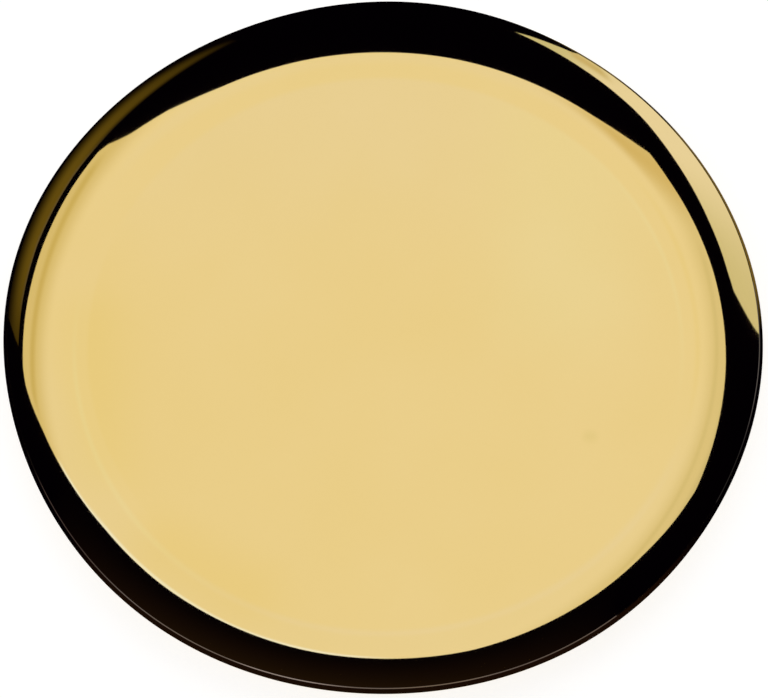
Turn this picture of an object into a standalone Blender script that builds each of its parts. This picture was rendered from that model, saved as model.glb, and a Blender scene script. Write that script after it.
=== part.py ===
"""Round jewelry tray: a pressed brass dish with a flared wall and a plain cut edge, on rubber feet.

Metres, +Z up. The feet stand on z = 0 and the dish is turned about the Z axis.
"""
from math import acos, cos, hypot, pi, radians, sin

import bmesh
import bpy

# Dish
TRAY_RADIUS = 0.1015          # to the outermost part of the cut edge
SHEET = 0.002                 # thickness of the brass
FLOOR_RADIUS = 0.0788         # flat part of the well
RIM_SLOPE = radians(34.5)     # slope of the wall where it ends
EDGE_FACET = 0.00026          # width of the narrow flat on the cut edge's upper corner
FACET_TILT = radians(34)      # how far that flat falls outwards
EDGE_BEVEL = 0.0003           # filed off the cut edge's lower corner

# Feet
FOOT_COUNT = 4
FOOT_RADIUS = 0.006           # at the glued face
FOOT_HEIGHT = 0.002
FOOT_TAPER = 0.0005           # narrower by this at the standing face
FOOT_EDGE = 0.0005            # round edge of the standing face
FOOT_INSET = 0.010            # from the edge of the flat floor to the side of a foot
GLUE = 0.0003                 # film between a foot and the floor

# Fineness of the round faces
DISH_STEPS = 128
FOOT_STEPS = 32
WALL_STEPS = 14
EDGE_STEPS = 3
WELD = 0.000001               # points closer than this are one

BRASS = (0.82, 0.62, 0.25)
RUBBER = (0.02, 0.02, 0.021)

FLOOR_UNDERSIDE = FOOT_HEIGHT + GLUE
FLOOR_TOP = FLOOR_UNDERSIDE + SHEET


def clear_scene():
    """Remove the objects that Blender starts with."""
    for thing in list(bpy.data.objects):
        bpy.data.objects.remove(thing)


def finish(name, color, metallic, roughness):
    """Make a plain material."""
    material = bpy.data.materials.new(name)
    material.use_nodes = True
    shader = material.node_tree.nodes["Principled BSDF"]
    shader.inputs["Base Color"].default_value = (*color, 1)
    shader.inputs["Metallic"].default_value = metallic
    shader.inputs["Roughness"].default_value = roughness
    return material


def arc(centre, radius, start, end, steps):
    """Points (r, z) of an arc, both ends included. Angles go up from the outward direction."""
    angles = [start + (end - start) * i / steps for i in range(steps + 1)]
    return [(centre[0] + radius * cos(a), centre[1] + radius * sin(a)) for a in angles]


def chain(*runs):
    """Join runs of points into one, without the point that two of them share."""
    joined = []
    for point in (p for run in runs for p in run):
        if not joined or hypot(point[0] - joined[-1][0], point[1] - joined[-1][1]) > WELD:
            joined.append(point)
    return joined


def move(point, direction, distance):
    return (point[0] + direction[0] * distance, point[1] + direction[1] * distance)


def wall_radius():
    """Radius of the wall's section on its upper face, from the flat floor to the cut edge."""
    wall_end = TRAY_RADIUS - (SHEET - EDGE_BEVEL) * sin(RIM_SLOPE)
    return (wall_end - FLOOR_RADIUS) / sin(RIM_SLOPE)


def cut_edge(upper):
    """The edge, cut square to the wall, from its upper corner round to the underside."""
    outward = (cos(RIM_SLOPE), sin(RIM_SLOPE))
    across = (sin(RIM_SLOPE), -cos(RIM_SLOPE))
    lower = move(upper, across, SHEET)
    return [
        move(upper, outward, -EDGE_FACET * cos(RIM_SLOPE + FACET_TILT)),
        move(upper, across, EDGE_FACET * sin(RIM_SLOPE + FACET_TILT)),
        move(lower, across, -EDGE_BEVEL),
        move(lower, outward, -EDGE_BEVEL),
    ]


def dish_profile():
    """Section of the dish: out along its upper face, over the edge and back underneath."""
    radius = wall_radius()
    centre = (FLOOR_RADIUS, FLOOR_TOP + radius)
    down = -pi / 2
    rim = down + RIM_SLOPE
    upper_face = arc(centre, radius, down, rim, WALL_STEPS)
    underside = arc(centre, radius + SHEET, rim, down, WALL_STEPS)
    return chain(
        [(0, FLOOR_TOP)],
        upper_face[:-1],
        cut_edge(upper_face[-1]),
        underside[1:],
        [(0, FLOOR_UNDERSIDE)],
    )


def foot_profile():
    """Section of a foot: glued face on top, tapered side, round edge, flat standing face."""
    slope = FOOT_TAPER / FOOT_HEIGHT
    lean = radians(90) - acos(slope / hypot(1, slope))
    side_at_edge = FOOT_RADIUS - (FOOT_HEIGHT - FOOT_EDGE) * slope
    edge_centre = (side_at_edge - FOOT_EDGE * hypot(1, slope), FOOT_EDGE)
    return chain(
        [(0, FOOT_HEIGHT), (FOOT_RADIUS, FOOT_HEIGHT)],
        arc(edge_centre, FOOT_EDGE, -lean, -pi / 2, EDGE_STEPS),
        [(0, 0)],
    )


def turned_mesh(name, profile, steps):
    """Turn a section about the Z axis into a closed mesh, smooth except at its hard edges."""
    bm = bmesh.new()
    points = [bm.verts.new((r, 0, z)) for r, z in profile]
    edges = [bm.edges.new(pair) for pair in zip(points, points[1:])]
    bmesh.ops.spin(bm, geom=points + edges, cent=(0, 0, 0), axis=(0, 0, 1),
                   angle=2 * pi, steps=steps, use_merge=True)
    bmesh.ops.remove_doubles(bm, verts=bm.verts, dist=WELD)
    bmesh.ops.recalc_face_normals(bm, faces=bm.faces)
    mesh = bpy.data.meshes.new(name)
    bm.to_mesh(mesh)
    bm.free()
    mesh.shade_smooth()
    mesh.set_sharp_from_angle(angle=radians(40))
    return mesh


def add(name, mesh, material, location=(0, 0, 0)):
    """Put a mesh into the scene as a named object."""
    thing = bpy.data.objects.new(name, mesh)
    thing.location = location
    if not mesh.materials:
        mesh.materials.append(material)
    bpy.context.scene.collection.objects.link(thing)


def make_shell():
    """The dish, from one round of sheet."""
    mesh = turned_mesh("tray_shell", dish_profile(), DISH_STEPS)
    add("tray_shell", mesh, finish("polished_brass", BRASS, 1, 0.06))


def make_feet():
    """The feet, evenly round the flat floor and clear of the wall."""
    mesh = turned_mesh("foot", foot_profile(), FOOT_STEPS)
    rubber = finish("foot_rubber", RUBBER, 0, 0.6)
    reach = FLOOR_RADIUS - FOOT_INSET - FOOT_RADIUS
    for number in range(FOOT_COUNT):
        angle = 2 * pi * (number + 0.5) / FOOT_COUNT
        add(f"foot_{number + 1}", mesh, rubber, (reach * cos(angle), reach * sin(angle), 0))


def main():
    clear_scene()
    make_shell()
    make_feet()


main()
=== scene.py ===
"""Looks of the round brass jewelry tray: fine shell, rubber feet, glue, studio and camera.

Metres, +Z up. The tray's axis is the Z axis, and the photograph looks along +Y, down at the tray.
North, south, east and west are +Y, -Y, +X and -X.
"""
from math import acos, asin, cos, hypot, pi, radians, sin, tau

import bmesh
import bpy
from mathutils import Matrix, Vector


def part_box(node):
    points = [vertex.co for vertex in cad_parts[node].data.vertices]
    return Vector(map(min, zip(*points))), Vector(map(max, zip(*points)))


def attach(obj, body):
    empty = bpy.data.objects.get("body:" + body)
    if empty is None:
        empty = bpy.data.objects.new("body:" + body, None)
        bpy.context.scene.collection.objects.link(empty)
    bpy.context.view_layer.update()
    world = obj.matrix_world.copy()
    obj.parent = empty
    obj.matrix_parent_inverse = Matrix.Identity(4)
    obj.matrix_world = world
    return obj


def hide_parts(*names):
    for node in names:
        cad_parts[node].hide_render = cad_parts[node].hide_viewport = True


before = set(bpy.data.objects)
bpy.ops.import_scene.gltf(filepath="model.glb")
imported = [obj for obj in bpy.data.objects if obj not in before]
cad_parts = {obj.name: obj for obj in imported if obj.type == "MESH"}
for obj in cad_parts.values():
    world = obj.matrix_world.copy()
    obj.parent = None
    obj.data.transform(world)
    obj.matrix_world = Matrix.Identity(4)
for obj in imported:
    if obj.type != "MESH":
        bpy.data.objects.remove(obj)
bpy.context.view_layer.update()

# Sizes taken from the frame
SHELL_LOW, SHELL_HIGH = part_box("tray_shell")
FOOT_LOW, FOOT_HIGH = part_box("foot_1")
TRAY_RADIUS = round(SHELL_HIGH.x, 4)
FLOOR_UNDERSIDE = SHELL_LOW.z
FOOT_HEIGHT = FOOT_HIGH.z
FOOT_RADIUS = (FOOT_HIGH.x - FOOT_LOW.x) / 2

# Section of the dish, as in the solids
SHEET = 0.002
FLOOR_RADIUS = 0.0788
RIM_SLOPE = radians(34.5)
EDGE_FACET = 0.00026
FACET_TILT = radians(34)
EDGE_BEVEL = 0.0003

# The real edge: a finer bevel, and a wall cut short a little off-centre and in slow waves
FINE_BEVEL = 0.00015
CUT_INSET = 0.000657
CUT_WAVES = (                 # number round the rim, depth and deepest angle
    (1, 0.000375, radians(57.2)), (2, 0.000044, radians(32.1)), (3, 0.000089, radians(-12.1)),
    (4, 0.000158, radians(34.0)), (5, 0.000237, radians(-22.2)), (6, 0.000102, radians(29.0)),
    (7, 0.000033, radians(10.3)), (8, 0.000033, radians(15.4)),
)

# Section of a foot
FOOT_TAPER = 0.0005
FOOT_EDGE = 0.0005            # round edge of the standing face
FOOT_CORNER = 0.0001          # broken corner of the glued face
FOOT_DISH_DEPTH = 0.00012
FOOT_DISH_SHARE = 0.62        # of the foot's radius
GLUE_SHARE = 0.94             # of the foot's radius
FEET = ("foot_1", "foot_2", "foot_3", "foot_4")

# Fineness
DISH_STEPS = 480
FLOOR_RINGS = 24
WALL_STEPS = 60
FOOT_STEPS = 72
FOOT_ARC_STEPS = 8
GLUE_ARC_STEPS = 4
STUDIO_STEPS = 96
DOME_SEGMENTS, DOME_RINGS = 48, 24
WELD = 0.0000005
SHELL_HARD_EDGE = radians(15)
FOOT_HARD_EDGE = radians(40)

# Where nearly all of a noise's values lie
NOISE_LOW, NOISE_HIGH = 0.3, 0.7

# Brass: its colour, and tints on it
BRASS = (0.823, 0.617, 0.250)
DEEPER = (0.995, 0.99, 0.965)
PALER = (1.004, 1.006, 1.03)
TONE_NOISE = (26, 3)          # scale and detail
STAINS = (                    # both ends, reach and tint of each faint mark
    ((-0.079, 0.004, 0.005), (-0.076, -0.032, 0.005), 0.018, (0.99, 0.985, 0.91)),
    ((-0.056, -0.060, 0.005), (-0.037, -0.072, 0.005), 0.018, (0.99, 0.97, 0.86)),
    ((0.0544, -0.0269, 0.0043), (0.0550, -0.0269, 0.0043), 0.003, (0.955, 0.96, 0.925)),
)
POLISH_ROUGHNESS = 0.025
RING_ROUGHNESS = 0.02         # that the turned marks add at most
RING_NOISE = (2600, 2)

# Rubber and glue: both ends of their colour and roughness
RUBBER = ((0.014, 0.014, 0.015), (0.032, 0.032, 0.033))
RUBBER_ROUGHNESS = (0.5, 0.68)
RUBBER_NOISE = (2600, 4, 0.6)         # scale, detail and roughness
GRAIN_DEPTH = 0.00003
GRAIN_STRENGTH = 0.5
GLUE = ((0.55, 0.52, 0.44), (0.72, 0.70, 0.62))
GLUE_ROUGHNESS = (0.18, 0.35)
GLUE_NOISE = (900, 3)

# Camera, from the outline of the tray in the photograph
CAMERA_ELEVATION = radians(66.08)
CAMERA_DISTANCE = 1.32
LENS_MM = 230.88
SENSOR_MM = 36
AIM = (0.000028, 0.000244, 0.000328)
TO_CAMERA = (0, -cos(CAMERA_ELEVATION), sin(CAMERA_ELEVATION))

# Studio, in metres from the tray's centre: corners of the cards, (x, y) overhead, (y, z) in the
# west and east, and (x, z) in the south
TOP_HEIGHT = 1.4
TOP_PANEL = (
    (-0.59, 0.16), (-0.33, 0.19), (-0.094, 0.152), (0.253, 0.135), (0.442, 0.07),
    (0.632, 0.058), (0.863, 0.005), (0.95, 0.013), (1.077, 0.162), (1.266, 0.448),
    (1.45, 0.813), (1.583, 1.151), (1.553, 1.25), (1.429, 1.288), (1.209, 1.305),
    (0.718, 1.45), (0.578, 1.636), (0.207, 1.854), (0.03, 1.88), (-0.245, 1.98),
    (-0.606, 1.783), (-0.741, 1.641), (-0.894, 1.582), (-1.0, 1.489), (-0.846, 0.828),
    (-0.732, 0.508), (-0.608, 0.25),
)
SIDE_DISTANCE = 1.0
WEST_PANEL = (
    (0.56, 0.56), (0.53, 1.18), (0.48, 1.255), (0.31, 1.365), (0.07, 1.452), (-0.16, 1.508),
    (-0.25, 1.558), (-0.42, 1.70), (-0.93, 2.17), (-1.31, 2.55), (-1.15, 2.24), (-0.92, 1.85),
    (-0.79, 1.63), (-0.69, 1.29), (0.01, 0.73),
)
LOW_WEST_PANEL = (
    (0.04, 0.395), (-0.33, 0.545), (-0.70, 0.77), (-0.70, 1.08), (-0.33, 0.82), (0.04, 0.65),
)
EAST_PANEL = (
    (0.50, 0.60), (0.57, 0.71), (0.61, 0.77), (0.645, 0.83), (0.50, 0.888), (0.31, 0.987),
    (0.07, 1.187), (-0.18, 1.49), (-0.64, 1.98), (-1.07, 2.46), (-1.08, 1.72),
    (-0.33, 0.91), (0.01, 0.65),
)
LOW_EAST_PANEL = (
    (-0.12, 0.42), (0.2, 0.325), (0.62, 0.19), (0.62, 0.38), (0.2, 0.48), (-0.12, 0.55),
)
SOUTH_DISTANCE = 1.0
SOUTH_PANEL = (
    (-1.5, 1.08), (-0.58, 0.82), (0.0, 0.75), (0.58, 0.82), (1.5, 1.09),
    (1.5, 1.55), (0.58, 1.17), (0.0, 1.06), (-0.58, 1.17), (-1.5, 1.55),
)

# Light of the cards, linear RGB. A fade is where it starts, where it is full, and its colour; the
# east card's fades all go to black. A patch is both ends of a line, its reach, and its colour.
CLOTH = (1, 1, 1)
CLOTH_NORTH_FADE = (0.62, 0.85, (0.99, 1.0, 1.05))
CLOTH_PATCHES = (
    ((-0.12, 0.80), (0.06, 0.80), 0.14, (0.99, 1.01, 1.14)),
    ((-0.22, 0.27), (0.30, 0.24), 0.18, (0.99, 1.005, 1.08)),
    ((0.105, 0.66), (0.105, 0.76), 0.075, (1.0, 1.045, 1.12)),
    ((-0.19, 0.53), (-0.19, 0.64), 0.085, (0.99, 0.975, 0.89)),
)
CLOTH_WEST_FADE = (-0.25, -0.62, (0.87, 0.86, 0.77))
CLOTH_WEST_FOLD = ((-0.595, 0.506), (-0.60, 1.508), 0.09, (0.82, 0.81, 0.70))
CLOTH_WEST_END_FADE = (-0.78, -0.94, (0.77, 0.77, 0.68))
CLOTH_SOUTHWEST_FOLD = ((-0.575, 0.235), (-0.36, 0.257), 0.20, (0.80, 0.72, 0.50))
CLOTH_EAST_SLANT = -0.37      # the eastern fade goes by x, and by this much of y
CLOTH_EAST_FADE = (0.32, 0.77, (0.83, 0.79, 0.60))
CLOTH_EAST_FOLD = ((0.855, 0.16), (1.242, 1.137), 0.13, (0.73, 0.67, 0.40))
CLOTH_HEM = (                 # both ends and reach of each part
    ((0.10, 1.83), (0.40, 1.714), 0.15),
    ((0.40, 1.714), (0.68, 1.426), 0.15),
    ((0.68, 1.445), (0.944, 1.361), 0.10),
)
CLOTH_HEM_COLOR = (1.08, 1.28, 2.0)
WEST_WHITE = (0.98, 1.02, 1.22)
WEST_NORTH_FADE = (-0.05, 0.5, (0.76, 0.80, 0.76))
WEST_SOUTH_FADE = (-0.35, -0.9, (0.73, 0.79, 0.74))
WEST_CORNER = ((-0.58, 1.5), (-0.74, 1.66), 0.15, (0.72, 0.68, 0.54))
EAST_YELLOW = (0.146, 0.111, 0.019)
EAST_HEM = EAST_PANEL[4:8]
EAST_HEM_REACH = 0.06
EAST_HEM_COLOR = (0.145, 0.122, 0.08)
EAST_BLACK = (0.002, 0.001, 0.002)
EAST_SOUTH_FADE = (0.05, -1.1)
EAST_NORTH_FADE = (0.3, 0.85)
EAST_LOW_LIMIT = (0.5, -0.71, 0.89)   # height of the low limit, by y squared, y and 1
EAST_LOW_FADE = (0.19, -0.12)         # over and under that limit
EAST_HIGH_SLANT = 1.035               # the high fade goes by z, and by this much of y
EAST_HIGH_FADE = (1.11, 1.34)
EAST_HIGH_SOUTH_FADE = (0.1, -0.15)
LOW_WEST_BLUE = (0.155, 0.16, 0.33)
LOW_WEST_FADES = ((-0.6, -0.2, (0.06, 0.055, 0.11)), (-0.10, 0.0, (0.008, 0.008, 0.016)))
LOW_EAST_BLUE = (0.12, 0.14, 0.31)
LOW_EAST_FADE = (0.3, 0.0, (0.02, 0.023, 0.05))
SOUTH_BLUE = (0.17, 0.17, 0.33)
SOUTH_PATCHES = (
    ((-0.50, 0.89), (-0.28, 0.84), 0.2, (0.345, 0.36, 0.77)),
    ((0.15, 0.82), (0.27, 0.84), 0.2, (0.20, 0.19, 0.32)),
)
SOUTH_EAST_FADE = (0.35, 0.6, (0.145, 0.138, 0.26))

# Dark room and ground round the tray, which hide the white world from reflections. A glow lies
# at an angle round the tray; it starts and is full where the cosine from there has these values.
ROOM_RADIUS = 6.0
GROUND_HEIGHT = 0.0004
CLEARING_RADIUS = 0.105       # inside it the pale floor shows in reflections
ROOM_BLACK = (0.0006, 0.0001, 0.002)
NORTH_GLOW = (radians(82), 0.86, 1)
NORTH_BROWN = (0.0158, 0.0095, 0.0065)
NORTH_TOP = 0.62              # heights are shares of the room's radius
SOUTH_GLOW = (radians(-90), 0.45, 0.65)
SOUTH_BROWN = (0.011, 0.0054, 0.005)
SOUTH_TOP_FADE = (0.2, 0.08)
PALE = (0.80, 0.79, 0.78)
PALE_FOOT_FADE = (0.02, 0.15)
MIRRORED_FADE = (0.803, 0.785)        # rise of the direction halfway to the camera
WARM_GLOW = (radians(36), 0.855, 0.93)
WARM_BROWN = (0.17, 0.13, 0.045)
DIM_GLOW = (radians(46), 0.992, 0.998)
DIM_BROWN = (0.05, 0.04, 0.02)

# Floor and world
FLOOR_GRAY = 0.4
FLOOR_GLOW = 0.8
WORLD_LIGHT = 0.5


def arc(centre, radius, start, end, steps):
    """Points (r, z) of an arc, both ends included."""
    angles = [start + (end - start) * i / steps for i in range(steps + 1)]
    return [(centre[0] + radius * cos(a), centre[1] + radius * sin(a)) for a in angles]


def chain(*runs):
    """Join runs of points into one, without the point that two of them share."""
    joined = []
    for point in (p for run in runs for p in run):
        if not joined or hypot(point[0] - joined[-1][0], point[1] - joined[-1][1]) > WELD:
            joined.append(point)
    return joined


def move(point, direction, distance):
    return (point[0] + direction[0] * distance, point[1] + direction[1] * distance)


def floor_run(height):
    """Points across the flat floor, from the axis to the last ring inside its edge."""
    return [(FLOOR_RADIUS * i / FLOOR_RINGS, height) for i in range(FLOOR_RINGS)]


def cut_edge(upper, slope):
    """The cut edge, square to the wall: a narrow facet on top and a bevel at the bottom."""
    outward = (cos(slope), sin(slope))
    across = (sin(slope), -cos(slope))
    lower = move(upper, across, SHEET)
    return [
        move(upper, outward, -EDGE_FACET * cos(slope + FACET_TILT)),
        move(upper, across, EDGE_FACET * sin(slope + FACET_TILT)),
        move(lower, across, -FINE_BEVEL),
        move(lower, outward, -FINE_BEVEL),
    ]


def dish_profile(angle):
    """Section of the dish at an angle round it: out along the top, over the edge, back below."""
    wall_end = TRAY_RADIUS - (SHEET - EDGE_BEVEL) * sin(RIM_SLOPE)
    radius = (wall_end - FLOOR_RADIUS) / sin(RIM_SLOPE)
    short = CUT_INSET + sum(depth * cos(n * (angle - at)) for n, depth, at in CUT_WAVES)
    slope = asin(sin(RIM_SLOPE) - short / radius)
    top = FLOOR_UNDERSIDE + SHEET
    centre = (FLOOR_RADIUS, top + radius)
    down = -pi / 2
    rim = down + slope
    upper_face = arc(centre, radius, down, rim, WALL_STEPS)
    underside = arc(centre, radius + SHEET, rim, down, WALL_STEPS)
    return chain(
        floor_run(top),
        upper_face[:-1],
        cut_edge(upper_face[-1], slope),
        underside[1:],
        floor_run(FLOOR_UNDERSIDE)[::-1],
    )


def foot_profile():
    """Section of a foot: glued face, tapered side, round edge and dished standing face."""
    slope = FOOT_TAPER / FOOT_HEIGHT
    lean = pi / 2 - acos(slope / hypot(1, slope))
    side_at_edge = FOOT_RADIUS - (FOOT_HEIGHT - FOOT_EDGE) * slope
    edge_centre = (side_at_edge - FOOT_EDGE * hypot(1, slope), FOOT_EDGE)
    dish = FOOT_RADIUS * FOOT_DISH_SHARE
    turns = [pi / 2 * i / FOOT_ARC_STEPS for i in range(1, FOOT_ARC_STEPS + 1)]
    return chain(
        [(0, FOOT_HEIGHT), (FOOT_RADIUS - FOOT_CORNER, FOOT_HEIGHT)],
        [(FOOT_RADIUS, FOOT_HEIGHT - FOOT_CORNER)],
        arc(edge_centre, FOOT_EDGE, -lean, -pi / 2, FOOT_ARC_STEPS),
        [(dish, 0)],
        [(dish * cos(a), FOOT_DISH_DEPTH * sin(a)) for a in turns],
    )


def glue_profile():
    """Section of the glue film between a foot and the floor's underside."""
    reach = FOOT_RADIUS * GLUE_SHARE
    half = (FLOOR_UNDERSIDE - FOOT_HEIGHT) / 2
    return chain(
        [(0, FLOOR_UNDERSIDE), (reach, FLOOR_UNDERSIDE)],
        arc((reach - half, FOOT_HEIGHT + half), half, pi / 4, -pi / 4, GLUE_ARC_STEPS),
        [(reach, FOOT_HEIGHT), (0, FOOT_HEIGHT)],
    )


def mesh_from(name, bm):
    mesh = bpy.data.meshes.new(name)
    bm.to_mesh(mesh)
    bm.free()
    return mesh


def turned(name, sections, hard_edge, material):
    """A closed skin through sections spread evenly round the Z axis, smooth between hard edges."""
    bm = bmesh.new()
    rows = []
    for i, section in enumerate(sections):
        angle = tau * i / len(sections)
        rows.append([bm.verts.new((r * cos(angle), r * sin(angle), z)) for r, z in section])
    for row, following in zip(rows, rows[1:] + rows[:1]):
        for corners in zip(row, row[1:], following[1:], following):
            bm.faces.new(corners)
    bmesh.ops.remove_doubles(bm, verts=bm.verts, dist=WELD)
    bmesh.ops.recalc_face_normals(bm, faces=bm.faces)
    mesh = mesh_from(name, bm)
    mesh.shade_smooth()
    mesh.set_sharp_from_angle(angle=hard_edge)
    mesh.materials.append(material)
    thing = bpy.data.objects.new(name, mesh)
    bpy.context.scene.collection.objects.link(thing)
    return thing


def rgb(color):
    return (*color, 1)


def tinted(color, tint):
    return rgb([c * k for c, k in zip(color, tint)])


class Graph:
    """A material's or world's nodes, written shortly."""

    def __init__(self, owner):
        owner.use_nodes = True
        self.tree = owner.node_tree
        self.tree.nodes.clear()

    def add(self, kind, **settings):
        node = self.tree.nodes.new("ShaderNode" + kind)
        for key, value in settings.items():
            setattr(node, key, value)
        return node

    def join(self, source, target):
        self.tree.links.new(source, target)

    def feed(self, value, socket):
        """Link a socket to it, or set it to a constant."""
        if isinstance(value, bpy.types.NodeSocket):
            self.join(value, socket)
        elif value is not None:
            socket.default_value = value

    def math(self, operation, first, second=None, third=None, clamp=False):
        node = self.add("Math", operation=operation, use_clamp=clamp)
        for socket, value in zip(node.inputs, (first, second, third)):
            self.feed(value, socket)
        return node.outputs[0]

    def vector(self, operation, first, second=None):
        """A vector result, or the number of a dot product or distance."""
        node = self.add("VectorMath", operation=operation)
        for socket, value in zip(node.inputs, (first, second)):
            self.feed(value, socket)
        return node.outputs["Value" if operation in ("DOT_PRODUCT", "DISTANCE") else "Vector"]

    def noise(self, place, scale, detail, roughness=0.5, along=False):
        """Noise over a place or, along a line, over a number."""
        node = self.add("TexNoise", noise_dimensions="1D" if along else "3D")
        self.feed(place, node.inputs["W" if along else "Vector"])
        for name, number in (("Scale", scale), ("Detail", detail), ("Roughness", roughness)):
            node.inputs[name].default_value = number
        return node.outputs["Fac"]

    def remap(self, value, low, high, to_low=0.0, to_high=1.0, **settings):
        node = self.add("MapRange", clamp=True, **settings)
        self.feed(value, node.inputs["Value"])
        for name, number in (("From Min", low), ("From Max", high),
                             ("To Min", to_low), ("To Max", to_high)):
            node.inputs[name].default_value = number
        return node.outputs[0]

    def fade(self, value, none, full):
        """0 at none, 1 at full, with soft ends."""
        return self.remap(value, none, full, interpolation_type="SMOOTHSTEP")

    def near(self, place, start, end, reach):
        """1 on the straight line from start to end, 0 at reach from it."""
        start, way = Vector(start), Vector(end) - Vector(start)
        offset = self.vector("SUBTRACT", place, start)
        along = self.vector("DOT_PRODUCT", offset, way / way.length_squared)
        foot = self.add("VectorMath", operation="SCALE")
        foot.inputs[0].default_value = way
        self.join(self.math("ADD", along, 0.0, clamp=True), foot.inputs["Scale"])
        return self.fade(self.vector("DISTANCE", offset, foot.outputs[0]), reach, 0)

    def blend(self, factor, first, second):
        node = self.add("Mix", data_type="RGBA")
        for name, value in (("Factor", factor), ("A", first), ("B", second)):
            self.feed(value, node.inputs[name])
        return node.outputs["Result"]


def surface(name):
    """A material, its graph, its Principled shader and the place on the object."""
    material = bpy.data.materials.new(name)
    graph = Graph(material)
    shader = graph.add("BsdfPrincipled")
    graph.join(shader.outputs[0], graph.add("OutputMaterial").inputs["Surface"])
    return material, graph, shader, graph.add("TexCoord").outputs["Object"]


def brass_material():
    """Mirror-polished sheet brass: faint patches of tone, a few stains and turned marks."""
    material, g, shader, place = surface("polished_brass")
    shader.inputs["Metallic"].default_value = 1
    shade = g.remap(g.noise(place, *TONE_NOISE), NOISE_LOW, NOISE_HIGH)
    color = g.blend(shade, tinted(BRASS, DEEPER), tinted(BRASS, PALER))
    for start, end, reach, tint in STAINS:
        color = g.blend(g.near(place, start, end, reach), color, tinted(BRASS, tint))
    g.join(color, shader.inputs["Base Color"])
    rough = g.math("MULTIPLY_ADD", ring_marks(g, place), RING_ROUGHNESS, POLISH_ROUGHNESS)
    g.join(rough, shader.inputs["Roughness"])
    return material


def ring_marks(g, place):
    """Fine rings about the axis, which the pressing and polishing leave."""
    split = g.add("SeparateXYZ")
    g.join(place, split.inputs[0])
    squares = g.math("ADD", g.math("POWER", split.outputs["X"], 2.0),
                     g.math("POWER", split.outputs["Y"], 2.0))
    return g.noise(g.math("SQRT", squares), *RING_NOISE, along=True)


def rubber_material():
    """Matt moulded black rubber with a fine grain."""
    material, g, shader, place = surface("foot_rubber")
    grain = g.noise(place, *RUBBER_NOISE)
    g.join(g.blend(grain, rgb(RUBBER[0]), rgb(RUBBER[1])), shader.inputs["Base Color"])
    rough = g.remap(grain, NOISE_LOW, NOISE_HIGH, *RUBBER_ROUGHNESS)
    g.join(rough, shader.inputs["Roughness"])
    bump = g.add("Bump")
    bump.inputs["Distance"].default_value = GRAIN_DEPTH
    bump.inputs["Strength"].default_value = GRAIN_STRENGTH
    g.join(grain, bump.inputs["Height"])
    g.join(bump.outputs[0], shader.inputs["Normal"])
    return material


def glue_material():
    """Cloudy clear adhesive."""
    material, g, shader, place = surface("clear_glue")
    cloud = g.noise(place, *GLUE_NOISE)
    g.join(g.blend(cloud, rgb(GLUE[0]), rgb(GLUE[1])), shader.inputs["Base Color"])
    rough = g.remap(cloud, NOISE_LOW, NOISE_HIGH, *GLUE_ROUGHNESS)
    g.join(rough, shader.inputs["Roughness"])
    return material


def make_shell(material):
    sections = [dish_profile(tau * i / DISH_STEPS) for i in range(DISH_STEPS)]
    shell = turned("pressed_shell", sections, SHELL_HARD_EDGE, material)
    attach(shell, "root")
    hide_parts("tray_shell")


def make_feet(rubber, glue):
    foot_sections = [foot_profile()] * FOOT_STEPS
    film_sections = [glue_profile()] * FOOT_STEPS
    for name in FEET:
        low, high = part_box(name)
        place = ((low.x + high.x) / 2, (low.y + high.y) / 2, 0)
        foot = turned("rubber_" + name, foot_sections, FOOT_HARD_EDGE, rubber)
        foot.location = place
        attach(foot, "root")
        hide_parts(name)
        film = turned("glue_" + name, film_sections, FOOT_HARD_EDGE, glue)
        film.location = place
        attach(film, "root")


def stage_object(name, mesh, material):
    """A thing of the studio that the camera doesn't see itself."""
    thing = bpy.data.objects.new(name, mesh)
    bpy.context.scene.collection.objects.link(thing)
    mesh.materials.append(material)
    thing.visible_camera = False
    return thing


def only_reflected(thing):
    """Leave a thing to mirror reflections alone."""
    thing.visible_diffuse = False
    thing.visible_shadow = False
    thing.visible_transmission = False


def overhead(x, y):
    return (x, y, TOP_HEIGHT)


def west(y, z):
    return (-SIDE_DISTANCE, y, z)


def east(y, z):
    return (SIDE_DISTANCE, y, z)


def south(x, z):
    return (x, -SOUTH_DISTANCE, z)


class Glow:
    """An emission material whose colour is built up from fades and patches over the place."""

    def __init__(self, name, color, plane=None):
        self.plane = plane
        self.material = bpy.data.materials.new(name)
        self.graph = g = Graph(self.material)
        self.place = g.add("TexCoord").outputs["Object"]
        split = g.add("SeparateXYZ")
        g.join(self.place, split.inputs[0])
        self.x, self.y, self.z = split.outputs
        self.light = g.add("Emission")
        g.join(self.light.outputs[0], g.add("OutputMaterial").inputs["Surface"])
        self.show(rgb(color))

    def show(self, color):
        self.color = color
        self.graph.feed(color, self.light.inputs["Color"])

    def tint(self, share, color):
        """Turn the light to another colour, by share."""
        self.show(self.graph.blend(share, self.color, rgb(color)))

    def fade(self, value, none, full, color):
        """Turn the light to another colour as a value goes from none to full."""
        self.tint(self.graph.fade(value, none, full), color)

    def near(self, start, end, reach):
        """1 on a line in the card's plane, 0 at reach from it."""
        return self.graph.near(self.place, self.plane(*start), self.plane(*end), reach)

    def patch(self, start, end, reach, color):
        """Turn the light to another colour along a line in the card's plane."""
        self.tint(self.near(start, end, reach), color)

    def toward(self, angle):
        """Cosine between an angle round the tray and the direction of the place."""
        g = self.graph
        level = g.vector("NORMALIZE", g.vector("MULTIPLY", self.place, (1, 1, 0)))
        return g.vector("DOT_PRODUCT", level, (cos(angle), sin(angle), 0))


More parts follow.
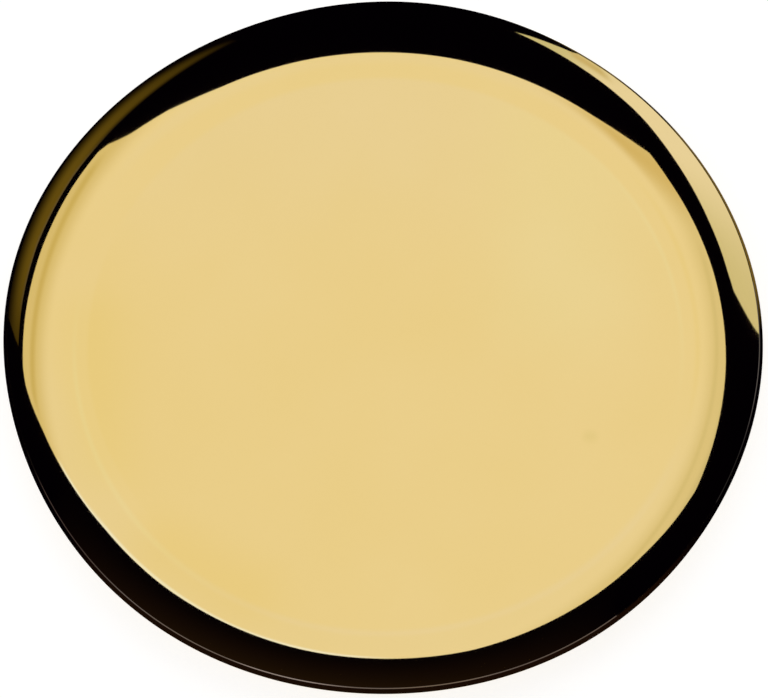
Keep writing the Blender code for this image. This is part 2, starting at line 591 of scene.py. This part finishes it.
def softbox_light():
    """White cloth with faint patches, warm dim folds near its ends and a bright north hem."""
    light = Glow("softbox_white", CLOTH, overhead)
    g = light.graph
    light.fade(light.y, *CLOTH_NORTH_FADE)
    for patch in CLOTH_PATCHES:
        light.patch(*patch)
    light.fade(light.x, *CLOTH_WEST_FADE)
    light.patch(*CLOTH_WEST_FOLD)
    light.fade(light.x, *CLOTH_WEST_END_FADE)
    light.patch(*CLOTH_SOUTHWEST_FOLD)
    light.fade(g.math("MULTIPLY_ADD", light.y, CLOTH_EAST_SLANT, light.x), *CLOTH_EAST_FADE)
    light.patch(*CLOTH_EAST_FOLD)
    hem = 0.0
    for part in CLOTH_HEM:
        hem = g.math("MAXIMUM", hem, light.near(*part))
    light.tint(hem, CLOTH_HEM_COLOR)
    return light.material


def west_light():
    """White, dimmer at both ends and in a corner of the top."""
    light = Glow("west_white", WEST_WHITE, west)
    light.fade(light.y, *WEST_NORTH_FADE)
    light.fade(light.y, *WEST_SOUTH_FADE)
    light.patch(*WEST_CORNER)
    return light.material


def east_light():
    """Dim yellow with a paler hem along the top, fading out low down and at both ends."""
    light = Glow("east_dim", EAST_YELLOW, east)
    g = light.graph
    for start, end in zip(EAST_HEM, EAST_HEM[1:]):
        light.patch(start, end, EAST_HEM_REACH, EAST_HEM_COLOR)
    light.tint(g.remap(light.y, *EAST_SOUTH_FADE), EAST_BLACK)
    light.fade(light.y, *EAST_NORTH_FADE, EAST_BLACK)
    square, slant, height = EAST_LOW_LIMIT
    limit = g.math("MULTIPLY_ADD", light.y, square, slant)
    limit = g.math("MULTIPLY_ADD", light.y, limit, height)
    light.fade(g.math("SUBTRACT", light.z, limit), *EAST_LOW_FADE, EAST_BLACK)
    over = g.fade(g.math("MULTIPLY_ADD", light.y, EAST_HIGH_SLANT, light.z), *EAST_HIGH_FADE)
    over = g.math("MULTIPLY", over, g.fade(light.y, *EAST_HIGH_SOUTH_FADE))
    light.tint(over, EAST_BLACK)
    return light.material


def low_west_light():
    """Weak and cool, growing in two steps towards the south."""
    light = Glow("low_west_dim", LOW_WEST_BLUE)
    for fade in LOW_WEST_FADES:
        light.fade(light.y, *fade)
    return light.material


def low_east_light():
    """Weak and cool, growing towards the north."""
    light = Glow("low_east_dim", LOW_EAST_BLUE)
    light.fade(light.y, *LOW_EAST_FADE)
    return light.material


def south_light():
    """Weak and cool, with a brighter patch left of the middle and a faint one right of it."""
    light = Glow("south_dim", SOUTH_BLUE, south)
    for patch in SOUTH_PATCHES:
        light.patch(*patch)
    light.fade(light.x, *SOUTH_EAST_FADE)
    return light.material


def beyond_reach(light):
    """1 in the low parts of the room that the tray's upper side can't mirror to the camera."""
    g = light.graph
    way = g.vector("NORMALIZE", light.place)
    halfway = g.vector("NORMALIZE", g.vector("ADD", way, TO_CAMERA))
    rise = g.vector("DOT_PRODUCT", halfway, (0, 0, 1))
    return g.fade(rise, *MIRRORED_FADE)


def room_light():
    """Nearly black, with faint brown light low in the north and south and pale walls elsewhere."""
    light = Glow("room_dark", ROOM_BLACK)
    g = light.graph
    height = g.math("DIVIDE", light.z, ROOM_RADIUS)
    angle, none, full = NORTH_GLOW
    behind = g.remap(light.toward(angle), none, full)
    light.tint(g.math("MULTIPLY", behind, g.remap(height, NORTH_TOP, 0)), NORTH_BROWN)
    angle, none, full = SOUTH_GLOW
    in_front = g.fade(light.toward(angle), none, full)
    light.tint(g.math("MULTIPLY", in_front, g.fade(height, *SOUTH_TOP_FADE)), SOUTH_BROWN)
    walls = g.math("MULTIPLY", beyond_reach(light), g.fade(height, *PALE_FOOT_FADE))
    light.tint(walls, PALE)
    return light.material


def ground_light():
    """Nearly black, with faint brown in front and a warm patch with a gap right of the tray."""
    light = Glow("ground_dark", ROOM_BLACK)
    for (angle, none, full), color in (
        (SOUTH_GLOW, SOUTH_BROWN), (WARM_GLOW, WARM_BROWN), (DIM_GLOW, DIM_BROWN),
    ):
        light.fade(light.toward(angle), none, full, color)
    return light.material


def make_cards():
    for name, plane, corners, light in (
        ("overhead_softbox", overhead, TOP_PANEL, softbox_light()),
        ("west_card", west, WEST_PANEL, west_light()),
        ("low_west_card", west, LOW_WEST_PANEL, low_west_light()),
        ("east_card", east, EAST_PANEL, east_light()),
        ("low_east_card", east, LOW_EAST_PANEL, low_east_light()),
        ("south_card", south, SOUTH_PANEL, south_light()),
    ):
        mesh = bpy.data.meshes.new(name)
        points = [plane(*corner) for corner in corners]
        mesh.from_pydata(points, [], [tuple(range(len(points)))])
        stage_object(name, mesh, light)


def make_room():
    """A dark half sphere round the tray."""
    bm = bmesh.new()
    bmesh.ops.create_uvsphere(bm, u_segments=DOME_SEGMENTS, v_segments=DOME_RINGS,
                              radius=ROOM_RADIUS)
    below = [v for v in bm.verts if v.co.z < -GROUND_HEIGHT]
    bmesh.ops.delete(bm, geom=below, context="VERTS")
    only_reflected(stage_object("dark_room", mesh_from("dark_room", bm), room_light()))


def make_ground():
    """A dark ring round the tray, just over the floor."""
    bm = bmesh.new()
    turns = [tau * i / STUDIO_STEPS for i in range(STUDIO_STEPS)]
    inner, outer = (
        [bm.verts.new((radius * cos(a), radius * sin(a), GROUND_HEIGHT)) for a in turns]
        for radius in (CLEARING_RADIUS, ROOM_RADIUS)
    )
    for corners in zip(inner, outer, outer[1:] + outer[:1], inner[1:] + inner[:1]):
        bm.faces.new(corners)
    only_reflected(stage_object("dark_ground", mesh_from("dark_ground", bm), ground_light()))


def make_floor():
    """The pale floor, which the camera sees and which keeps the tray's shadow."""
    bm = bmesh.new()
    bmesh.ops.create_circle(bm, cap_ends=True, radius=ROOM_RADIUS, segments=STUDIO_STEPS)
    material = bpy.data.materials.new("pale_floor")
    g = Graph(material)
    matt = g.add("BsdfDiffuse")
    matt.inputs["Color"].default_value = (FLOOR_GRAY, FLOOR_GRAY, FLOOR_GRAY, 1)
    glow = g.add("Emission")
    glow.inputs["Strength"].default_value = FLOOR_GLOW
    both = g.add("AddShader")
    g.join(matt.outputs[0], both.inputs[0])
    g.join(glow.outputs[0], both.inputs[1])
    g.join(both.outputs[0], g.add("OutputMaterial").inputs["Surface"])
    floor = stage_object("studio_floor", mesh_from("studio_floor", bm), material)
    floor.visible_camera = True


def make_world():
    """White where the camera, mirrors and glass see it, and half as strong as a light."""
    world = bpy.data.worlds.new("studio")
    bpy.context.scene.world = world
    g = Graph(world)
    path = g.add("LightPath")
    seen = g.math("MAXIMUM", path.outputs["Is Camera Ray"], path.outputs["Is Glossy Ray"])
    seen = g.math("MAXIMUM", seen, path.outputs["Is Transmission Ray"])
    light = g.add("Background")
    light.inputs["Color"].default_value = (1, 1, 1, 1)
    strength = g.math("MULTIPLY_ADD", seen, 1 - WORLD_LIGHT, WORLD_LIGHT)
    g.join(strength, light.inputs["Strength"])
    g.join(light.outputs[0], g.add("OutputWorld").inputs["Surface"])


def make_camera():
    data = bpy.data.cameras.new("camera")
    data.lens = LENS_MM
    data.sensor_width = SENSOR_MM
    camera = bpy.data.objects.new("camera", data)
    bpy.context.scene.collection.objects.link(camera)
    back = Vector(TO_CAMERA)
    camera.location = Vector(AIM) + back * CAMERA_DISTANCE
    camera.rotation_euler = (-back).to_track_quat("-Z", "Y").to_euler()
    bpy.context.scene.camera = camera


make_camera()
make_shell(brass_material())
make_feet(rubber_material(), glue_material())
make_cards()
make_room()
make_ground()
make_floor()
make_world()
bpy.context.scene.view_settings.view_transform = "Standard"
